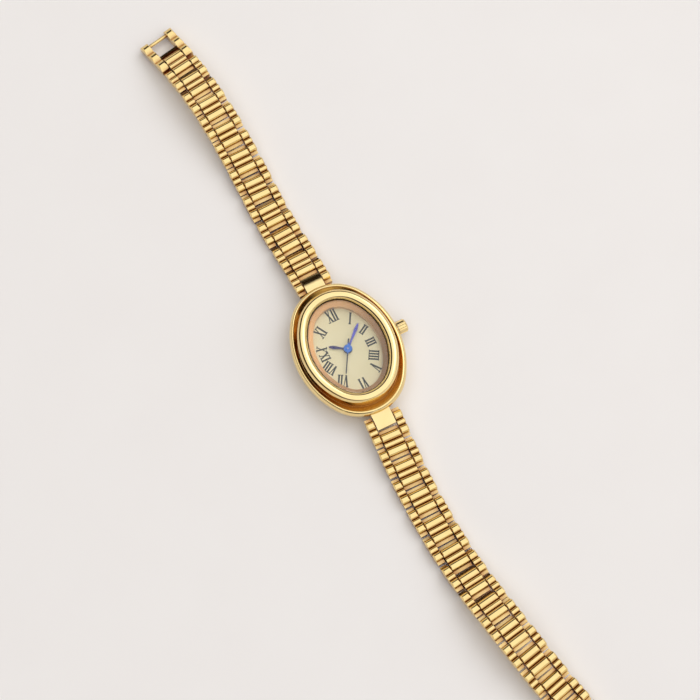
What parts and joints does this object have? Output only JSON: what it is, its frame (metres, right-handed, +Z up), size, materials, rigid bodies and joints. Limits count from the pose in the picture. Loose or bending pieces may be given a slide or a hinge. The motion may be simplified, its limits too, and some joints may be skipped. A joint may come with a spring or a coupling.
{
  "type": "oval bracelet watch",
  "caption": "Oval dress watch on a three-row ribbed link bracelet with an open end frame and a fold-over clasp, lying open face up.",
  "frame": {"origin": "middle of the case back's flat underside", "axes": "+Z up through the glass, +Y to 12 o'clock, +X to the crown at 3 o'clock"},
  "size_m": [0.0251, 0.175, 0.0073],
  "materials": {
    "gold": "polished gold plate",
    "ring_gold": "polished rose gold plate",
    "glass": "polished mineral glass",
    "seal": "matt",
    "dial_lacquer": "satin cream lacquer",
    "blued_steel": "glossy blue",
    "steel": "plain",
    "movement_brass": "plain",
    "holder_plastic": "moulded",
    "copper_wire": "enamelled wire",
    "board": "solder mask"
  },
  "bodies": {
    "head": {"case_body": "gold", "bezel": "gold", "crystal": "glass", "crystal_gasket": "seal", "dial_ring": "ring_gold", "dial": "dial_lacquer", "case_back": "gold", "back_gasket": "seal", "crown_tube": "steel", "movement_holder": "holder_plastic", "main_plate": "movement_brass", "train_bridge": "movement_brass", "battery": "steel", "battery_strap": "steel", "coil": "copper_wire", "coil_core": "steel", "stator": "steel", "circuit_board": "board", "quartz_can": "steel"},
    "setting_lever": {"setting_lever": "steel"},
    "crown": {"crown": "gold", "crown_gasket": "seal", "stem": "steel", "sliding_pinion": "steel"},
    "hour_work": {"hour_hand": "blued_steel", "hour_wheel": "movement_brass"},
    "minute_work": {"minute_hand": "blued_steel", "centre_wheel": "movement_brass"},
    "minute_wheel": {"minute_wheel": "movement_brass"},
    "seconds_work": {"seconds_hand": "blued_steel", "seconds_wheel": "movement_brass"},
    "rotor": {"rotor": "steel"},
    "intermediate_wheel": {"intermediate_wheel": "movement_brass"},
    "third_wheel": {"third_wheel": "movement_brass"},
    "upper_link_01": {"upper_link_01": "gold"},
    "upper_link_02": {"upper_link_02": "gold"},
    "upper_link_03": {"upper_link_03": "gold"},
    "upper_link_04": {"upper_link_04": "gold"},
    "upper_link_05": {"upper_link_05": "gold"},
    "upper_link_06": {"upper_link_06": "gold"},
    "upper_link_07": {"upper_link_07": "gold"},
    "upper_link_08": {"upper_link_08": "gold"},
    "upper_link_09": {"upper_link_09": "gold"},
    "end_frame": {"end_frame": "gold"},
    "lower_link_01": {"lower_link_01": "gold"},
    "lower_link_02": {"lower_link_02": "gold"},
    "lower_link_03": {"lower_link_03": "gold"},
    "lower_link_04": {"lower_link_04": "gold"},
    "lower_link_05": {"lower_link_05": "gold"},
    "lower_link_06": {"lower_link_06": "gold"},
    "lower_link_07": {"lower_link_07": "gold"},
    "lower_link_08": {"lower_link_08": "gold"},
    "lower_link_09": {"lower_link_09": "gold"},
    "lower_link_10": {"lower_link_10": "gold"},
    "lower_link_11": {"lower_link_11": "gold"},
    "clasp_base": {"clasp_base": "gold"},
    "clasp_cover": {"clasp_cover": "gold"}
  },
  "joints": [
    {"name": "crown_pull", "type": "slide", "parent": "head", "child": "setting_lever", "axis": [1, 0, 0], "range_m": [0, 0.0009]},
    {"name": "crown_turn", "type": "hinge", "parent": "setting_lever", "child": "crown", "pos_m": [0.01075, 0, 0.0027], "axis": [1, 0, 0], "continuous": true},
    {"name": "minute_turn", "type": "hinge", "parent": "head", "child": "minute_work", "pos_m": [0, 0, 0.00375], "axis": [0, 0, -1], "continuous": true},
    {"name": "hour_turn", "type": "hinge", "parent": "head", "child": "hour_work", "pos_m": [0, 0, 0.00375], "axis": [0, 0, -1], "continuous": true},
    {"name": "minute_wheel_turn", "type": "hinge", "parent": "head", "child": "minute_wheel", "pos_m": [-0.0012, 0.0012, 0.00375], "axis": [0, 0, -1], "continuous": true},
    {"name": "rotor_turn", "type": "hinge", "parent": "head", "child": "rotor", "pos_m": [-0.0029, 0.0037, 0.00375], "axis": [0, 0, -1], "continuous": true},
    {"name": "intermediate_turn", "type": "hinge", "parent": "head", "child": "intermediate_wheel", "pos_m": [-0.0019, 0.0017, 0.00375], "axis": [0, 0, -1], "continuous": true},
    {"name": "seconds_turn", "type": "hinge", "parent": "head", "child": "seconds_work", "pos_m": [0, 0, 0.00375], "axis": [0, 0, -1], "continuous": true},
    {"name": "third_turn", "type": "hinge", "parent": "head", "child": "third_wheel", "pos_m": [0.0021, 0.0009, 0.00375], "axis": [0, 0, -1], "continuous": true},
    {"name": "upper_link_01_hinge", "type": "hinge", "parent": "head", "child": "upper_link_01", "pos_m": [0, 0.01555, 0.003], "axis": [-0.9994, -0.0349, 0], "range_deg": [-21.11, 15.89]},
    {"name": "upper_link_02_hinge", "type": "hinge", "parent": "upper_link_01", "child": "upper_link_02", "pos_m": [-0.00022, 0.02171, 0.00201], "axis": [-0.9976, -0.0698, 0], "range_deg": [-9.64, 20.36]},
    {"name": "upper_link_03_hinge", "type": "hinge", "parent": "upper_link_02", "child": "upper_link_03", "pos_m": [-0.00065, 0.02791, 0.00128], "axis": [-0.999, -0.0436, 0], "range_deg": [-6.21, 23.79]},
    {"name": "upper_link_04_hinge", "type": "hinge", "parent": "upper_link_03", "child": "upper_link_04", "pos_m": [-0.00092, 0.03415, 0.00117], "axis": [-1, -0.0087, 0], "range_deg": [-8.47, 21.53]},
    {"name": "upper_link_05_hinge", "type": "hinge", "parent": "upper_link_04", "child": "upper_link_05", "pos_m": [-0.00098, 0.04039, 0.00145], "axis": [-0.9996, -0.0279, 0], "range_deg": [-6.2, 23.8]},
    {"name": "upper_link_06_hinge", "type": "hinge", "parent": "upper_link_05", "child": "upper_link_06", "pos_m": [-0.00115, 0.04657, 0.00236], "axis": [-0.998, -0.0628, 0], "range_deg": [-8.41, 21.59]},
    {"name": "upper_link_07_hinge", "type": "hinge", "parent": "upper_link_06", "child": "upper_link_07", "pos_m": [-0.00153, 0.05268, 0.00365], "axis": [-0.9952, -0.0976, 0], "range_deg": [-17.2, 12.79]},
    {"name": "upper_link_08_hinge", "type": "hinge", "parent": "upper_link_07", "child": "upper_link_08", "pos_m": [-0.00214, 0.05885, 0.00439], "axis": [-0.9912, -0.1323, 0], "range_deg": [-20.04, 9.96]},
    {"name": "upper_link_09_hinge", "type": "hinge", "parent": "upper_link_08", "child": "upper_link_09", "pos_m": [-0.00296, 0.06505, 0.00425], "axis": [-0.986, -0.1668, 0], "range_deg": [-22.68, 7.33]},
    {"name": "end_frame_hinge", "type": "hinge", "parent": "upper_link_09", "child": "end_frame", "pos_m": [-0.00398, 0.07108, 0.00296], "axis": [-0.9796, -0.2011, 0], "range_deg": [-48.63, 21.36]},
    {"name": "lower_link_01_hinge", "type": "hinge", "parent": "head", "child": "lower_link_01", "pos_m": [0, -0.01555, 0.003], "axis": [0.9994, -0.0349, 0], "range_deg": [-21.11, 15.89]},
    {"name": "lower_link_02_hinge", "type": "hinge", "parent": "lower_link_01", "child": "lower_link_02", "pos_m": [-0.00022, -0.02171, 0.00201], "axis": [0.9997, -0.0262, 0], "range_deg": [-9.64, 20.36]},
    {"name": "lower_link_03_hinge", "type": "hinge", "parent": "lower_link_02", "child": "lower_link_03", "pos_m": [-0.00038, -0.02792, 0.00128], "axis": [1, 0.0087, 0], "range_deg": [-6.21, 23.79]},
    {"name": "lower_link_04_hinge", "type": "hinge", "parent": "lower_link_03", "child": "lower_link_04", "pos_m": [-0.00032, -0.03417, 0.00117], "axis": [0.999, 0.0436, 0], "range_deg": [-10.88, 19.12]},
    {"name": "lower_link_05_hinge", "type": "hinge", "parent": "lower_link_04", "child": "lower_link_05", "pos_m": [-0.00005, -0.04041, 0.00119], "axis": [0.9969, 0.0785, 0], "range_deg": [-9.11, 20.89]},
    {"name": "lower_link_06_hinge", "type": "hinge", "parent": "lower_link_05", "child": "lower_link_06", "pos_m": [0.00044, -0.04663, 0.00152], "axis": [0.9936, 0.1132, 0], "range_deg": [-2.76, 27.24]},
    {"name": "lower_link_07_hinge", "type": "hinge", "parent": "lower_link_06", "child": "lower_link_07", "pos_m": [0.00113, -0.0527, 0.00285], "axis": [0.989, 0.1478, 0], "range_deg": [-11.34, 18.66]},
    {"name": "lower_link_08_hinge", "type": "hinge", "parent": "lower_link_07", "child": "lower_link_08", "pos_m": [0.00203, -0.05873, 0.00425], "axis": [0.9833, 0.1822, 0], "range_deg": [-21.73, 8.27]},
    {"name": "lower_link_09_hinge", "type": "hinge", "parent": "lower_link_08", "child": "lower_link_09", "pos_m": [0.00317, -0.06486, 0.0046], "axis": [0.9763, 0.2164, 0], "range_deg": [-24.56, 5.44]},
    {"name": "lower_link_10_hinge", "type": "hinge", "parent": "lower_link_09", "child": "lower_link_10", "pos_m": [0.0045, -0.07088, 0.00359], "axis": [0.9681, 0.2504, 0], "range_deg": [-15.6, 14.4]},
    {"name": "lower_link_11_hinge", "type": "hinge", "parent": "lower_link_10", "child": "lower_link_11", "pos_m": [0.00603, -0.07678, 0.00218], "axis": [0.965, 0.2622, 0], "range_deg": [-7.4, 22.6]},
    {"name": "clasp_base_hinge", "type": "hinge", "parent": "lower_link_11", "child": "clasp_base", "pos_m": [0.00765, -0.08275, 0.00128], "axis": [0.965, 0.2622, 0], "range_deg": [-4.4, 25.6]},
    {"name": "clasp_cover_hinge", "type": "hinge", "parent": "clasp_base", "child": "clasp_cover", "pos_m": [0.00824, -0.08492, 0.0016], "axis": [0.965, 0.2622, 0], "range_deg": [-115, 0]}
  ],
  "couplings": [
    {"joint": "hour_turn", "follows": "minute_turn", "ratio": 0.083333},
    {"joint": "minute_wheel_turn", "follows": "minute_turn", "ratio": -0.33333},
    {"joint": "intermediate_turn", "follows": "rotor_turn", "ratio": -0.16667},
    {"joint": "seconds_turn", "follows": "rotor_turn", "ratio": 0.033333},
    {"joint": "third_turn", "follows": "rotor_turn", "ratio": -0.0044444}
  ]
}
